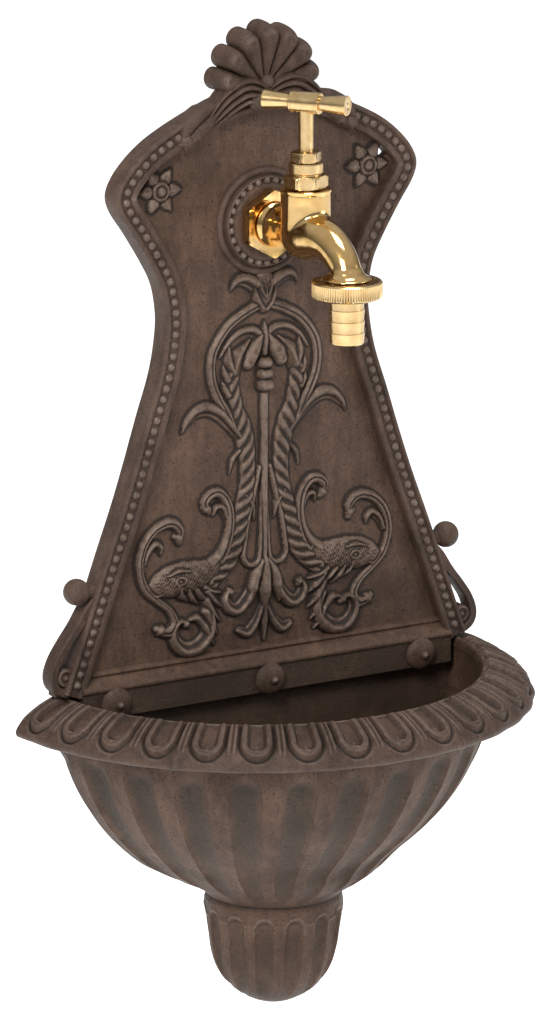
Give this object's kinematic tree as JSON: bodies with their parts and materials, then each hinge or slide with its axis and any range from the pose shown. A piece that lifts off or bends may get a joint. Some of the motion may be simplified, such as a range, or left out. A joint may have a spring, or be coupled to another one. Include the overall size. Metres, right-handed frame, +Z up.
{
  "type": "wall fountain",
  "caption": "Cast-iron wall fountain: a shaped, bordered back plate with relief and shell crest over a half-round fluted basin with pendant, and a brass T-handle hose tap.",
  "frame": {"origin": "On the wall plane at the basin's back face, on the centre line, at the level of the lip of its rim.", "axes": "+X to the right as seen from the front, +Y into the wall, +Z up. The front faces -Y."},
  "size_m": [0.365, 0.1822, 0.653],
  "materials": {
    "cast_iron": "dark reddish-brown patina, satin, with blacker recesses and worn highs",
    "polished_brass": "polished",
    "satin_brass": "satin, slightly dulled"
  },
  "bodies": {
    "fountain": {"back_plate": "cast_iron", "basin": "cast_iron", "pendant": "cast_iron", "bolt_left": "cast_iron", "bolt_middle": "cast_iron", "bolt_right": "cast_iron", "tap_flange": "polished_brass", "tap_body": "polished_brass", "tap_bonnet": "satin_brass", "tap_gland_nut": "satin_brass", "hose_nut": "satin_brass", "hose_tail": "satin_brass"},
    "tap_spindle": {"tap_spindle": "satin_brass", "tap_handle": "satin_brass"}
  },
  "joints": [
    {"name": "tap_spindle_turn", "type": "hinge", "parent": "fountain", "child": "tap_spindle", "pos_m": [0, -0.06, 0.4], "axis": [0, 0, 1], "range_deg": [0, 810]}
  ]
}
